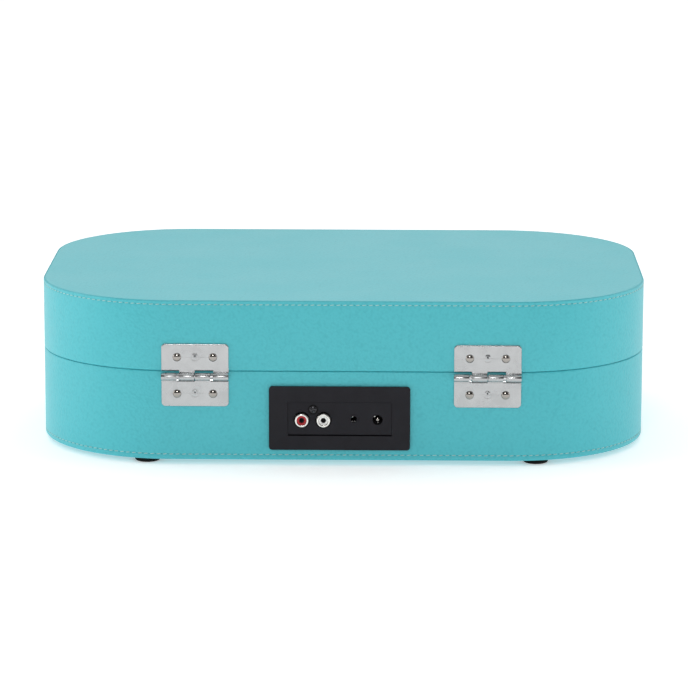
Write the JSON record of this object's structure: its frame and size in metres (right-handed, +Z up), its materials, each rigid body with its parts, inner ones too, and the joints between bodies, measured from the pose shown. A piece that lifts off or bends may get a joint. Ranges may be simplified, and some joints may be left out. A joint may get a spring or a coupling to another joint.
{
  "type": "suitcase record player",
  "caption": "Portable record player in a rounded leatherette suitcase with a hinged lid, latches, handle, platter, tonearm and rear jacks.",
  "frame": {"origin": "on the table the feet stand on, below the centre of the case", "axes": "+Z up, +X to the right seen from the front, -Y towards the front with its latches and handle, +Y towards the hinges and jacks"},
  "size_m": [0.375, 0.2823, 0.1014],
  "materials": {
    "leatherette": "pebbled, satin",
    "ply": "sanded",
    "rubber": "matt",
    "felt": "napped",
    "steel": "satin",
    "chrome": "bright",
    "black_plastic": "fine texture",
    "red_plastic": "glossy",
    "white_plastic": "glossy",
    "circuit_board": "lacquered",
    "brass": "turned",
    "aluminium": "turned",
    "paper_cone": "pressed paper"
  },
  "bodies": {
    "base": {"base_box": "ply", "base_cover": "leatherette", "feet": "rubber", "screws": "steel", "deck_blocks": "ply", "hinge_base_leaves": "chrome", "hinge_pins": "steel", "base_rivets": "chrome", "jack_bezel": "black_plastic", "jack_plate": "black_plastic", "rca_shells": "chrome", "rca_core_red": "red_plastic", "rca_core_white": "white_plastic", "line_jack": "black_plastic", "dc_jack": "black_plastic", "dc_pin": "steel", "jack_board": "circuit_board", "latch_plates": "chrome", "handle_brackets": "chrome", "deck_plate": "black_plastic", "power_light": "red_plastic", "spindle": "steel", "retaining_clip": "steel", "drive_belt": "rubber", "motor": "steel", "motor_bracket": "steel", "tonearm_base": "black_plastic", "arm_rest": "black_plastic", "switch_bodies": "circuit_board", "speaker_frames": "steel", "speaker_cones": "paper_cone", "speaker_magnets": "steel", "main_board": "circuit_board"},
    "lid": {"lid_box": "ply", "lid_cover": "leatherette", "lid_lining": "felt", "hinge_lid_leaves": "chrome", "lid_rivets": "chrome", "strike_plates": "chrome"},
    "latch_left": {"latch_lever_left": "chrome"},
    "latch_right": {"latch_lever_right": "chrome"},
    "handle": {"handle_grip": "leatherette", "handle_ends": "chrome"},
    "turntable": {"platter": "steel", "platter_bush": "brass", "platter_mat": "felt"},
    "pulley": {"motor_pulley": "brass"},
    "yoke": {"arm_yoke": "black_plastic"},
    "arm": {"arm_tube": "black_plastic", "headshell": "black_plastic", "cartridge": "red_plastic", "stylus": "red_plastic"},
    "clip": {"rest_clip": "black_plastic"},
    "lift": {"lift_platform": "black_plastic"},
    "cue": {"cue_lever": "black_plastic"},
    "volume": {"volume_knob": "black_plastic"},
    "function": {"function_slider": "black_plastic"},
    "speed": {"speed_slider": "black_plastic"},
    "auto_stop": {"auto_stop_slider": "black_plastic"},
    "adapter": {"adapter_45": "aluminium"}
  },
  "joints": [
    {"name": "lid_hinge", "type": "hinge", "parent": "base", "child": "lid", "pos_m": [0, 0.1326, 0.05505], "axis": [-1, 0, 0], "range_deg": [0, 100]},
    {"name": "latch_left_hinge", "type": "hinge", "parent": "base", "child": "latch_left", "pos_m": [-0.0885, -0.1336, 0.04], "axis": [1, 0, 0], "range_deg": [0, 35], "stiffness_Nm_per_rad": 0.02},
    {"name": "latch_right_hinge", "type": "hinge", "parent": "base", "child": "latch_right", "pos_m": [0.0885, -0.1336, 0.04], "axis": [1, 0, 0], "range_deg": [0, 35], "stiffness_Nm_per_rad": 0.02},
    {"name": "handle_hinge", "type": "hinge", "parent": "base", "child": "handle", "pos_m": [0, -0.14, 0.042], "axis": [-1, 0, 0], "range_deg": [0, 175]},
    {"name": "platter_spin", "type": "hinge", "parent": "base", "child": "turntable", "pos_m": [-0.027, 0.015, 0.0625], "axis": [0, 0, -1], "continuous": true},
    {"name": "pulley_spin", "type": "hinge", "parent": "base", "child": "pulley", "pos_m": [-0.086, 0.074, 0.059], "axis": [0, 0, -1], "continuous": true},
    {"name": "arm_swing", "type": "hinge", "parent": "base", "child": "yoke", "pos_m": [0.128, 0.078, 0.063], "axis": [0, 0, -1], "range_deg": [0, 52]},
    {"name": "arm_lift", "type": "hinge", "parent": "yoke", "child": "arm", "pos_m": [0.128, 0.078, 0.075], "axis": [-1, 0, 0], "range_deg": [0, 3]},
    {"name": "rest_clip_hinge", "type": "hinge", "parent": "base", "child": "clip", "pos_m": [0.1348, -0.04, 0.081], "axis": [0, -1, 0], "range_deg": [0, 85]},
    {"name": "lift_slide", "type": "slide", "parent": "base", "child": "lift", "axis": [0, 0, 1], "range_m": [0, 0.00084]},
    {"name": "cue_lever_hinge", "type": "hinge", "parent": "base", "child": "cue", "pos_m": [0.15, 0.06255, 0.063], "axis": [-1, 0, 0], "range_deg": [0, 60]},
    {"name": "volume_turn", "type": "hinge", "parent": "base", "child": "volume", "pos_m": [0.158, 0.014, 0.06], "axis": [0, 0, -1], "range_deg": [0, 280]},
    {"name": "function_slide", "type": "slide", "parent": "base", "child": "function", "axis": [0, 1, 0], "range_m": [0, 0.008]},
    {"name": "speed_slide", "type": "slide", "parent": "base", "child": "speed", "axis": [1, 0, 0], "range_m": [0, 0.014]},
    {"name": "auto_stop_slide", "type": "slide", "parent": "base", "child": "auto_stop", "axis": [1, 0, 0], "range_m": [0, 0.006]},
    {"name": "adapter_lift_off", "type": "slide", "parent": "base", "child": "adapter", "axis": [0, 0, 1], "range_m": [0, 0.025]}
  ],
  "couplings": [
    {"joint": "pulley_spin", "follows": "platter_spin", "ratio": 20},
    {"joint": "arm_lift", "follows": "cue_lever_hinge", "ratio": 0.05},
    {"joint": "lift_slide", "follows": "cue_lever_hinge", "m_per_rad": 0.0008}
  ]
}
